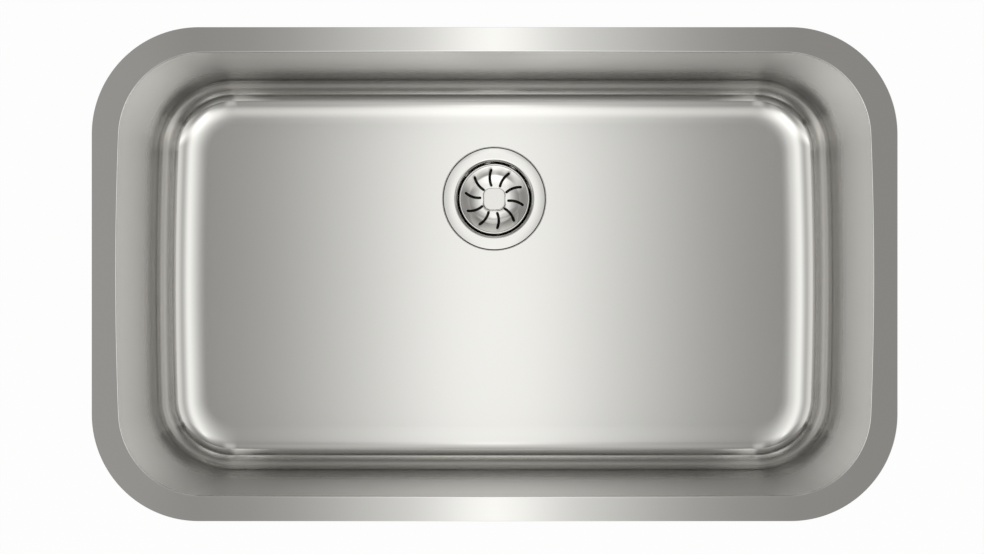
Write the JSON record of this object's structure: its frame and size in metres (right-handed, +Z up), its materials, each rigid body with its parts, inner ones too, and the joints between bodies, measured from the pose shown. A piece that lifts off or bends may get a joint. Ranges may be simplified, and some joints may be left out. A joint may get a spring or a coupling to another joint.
{
  "type": "kitchen sink",
  "caption": "Undermount steel sink with a broad rounded flange, deep rounded bowl, round waste near the back and a lift-out slotted strainer basket.",
  "frame": {"origin": "middle of the bowl opening, in the plane of the flange's top face, which seats against the underside of the worktop", "axes": "+X along the sink's length to the right, +Y to the back, where the waste is, +Z up"},
  "size_m": [0.765, 0.469, 0.3662],
  "materials": {
    "bowl_steel": "satin stainless sheet",
    "tag_steel": "plain stainless strip",
    "cup_steel": "satin pressed stainless",
    "basket_steel": "polished pressed stainless",
    "knob_steel": "satin cast stainless",
    "pin_steel": "turned stainless",
    "seal_rubber": "smooth moulded rubber",
    "body_plastic": "moulded polypropylene",
    "nut_plastic": "moulded polypropylene",
    "pipe_plastic": "extruded polypropylene",
    "insert_brass": "turned brass",
    "pad_rubber": "heavy damping sheet"
  },
  "bodies": {
    "sink": {"bowl": "bowl_steel", "earth_tag": "tag_steel", "strainer_cup": "cup_steel", "clamp_bolt": "pin_steel", "bolt_washer": "pin_steel", "flange_seal": "seal_rubber", "body_seal": "seal_rubber", "outlet_washer": "seal_rubber", "waste_body": "body_plastic", "coupling_nut": "nut_plastic", "tail_pipe": "pipe_plastic", "brass_insert": "insert_brass", "floor_pad_left": "pad_rubber", "floor_pad_right": "pad_rubber", "floor_pad_front": "pad_rubber", "wall_pad_left": "pad_rubber", "wall_pad_right": "pad_rubber", "wall_pad_front": "pad_rubber", "wall_pad_back": "pad_rubber"},
    "stopper": {"stopper_stem": "pin_steel", "stopper_plate": "pin_steel", "stopper_seal": "seal_rubber", "seal_retainer": "pin_steel"},
    "basket": {"basket": "basket_steel", "basket_knob": "knob_steel"}
  },
  "joints": [
    {"name": "strainer_lift", "type": "slide", "parent": "sink", "child": "stopper", "axis": [0, 0, 1], "range_m": [0, 0.26]},
    {"name": "basket_turn", "type": "hinge", "parent": "stopper", "child": "basket", "pos_m": [0, 0.083, -0.22], "axis": [0, 0, 1], "continuous": true}
  ]
}
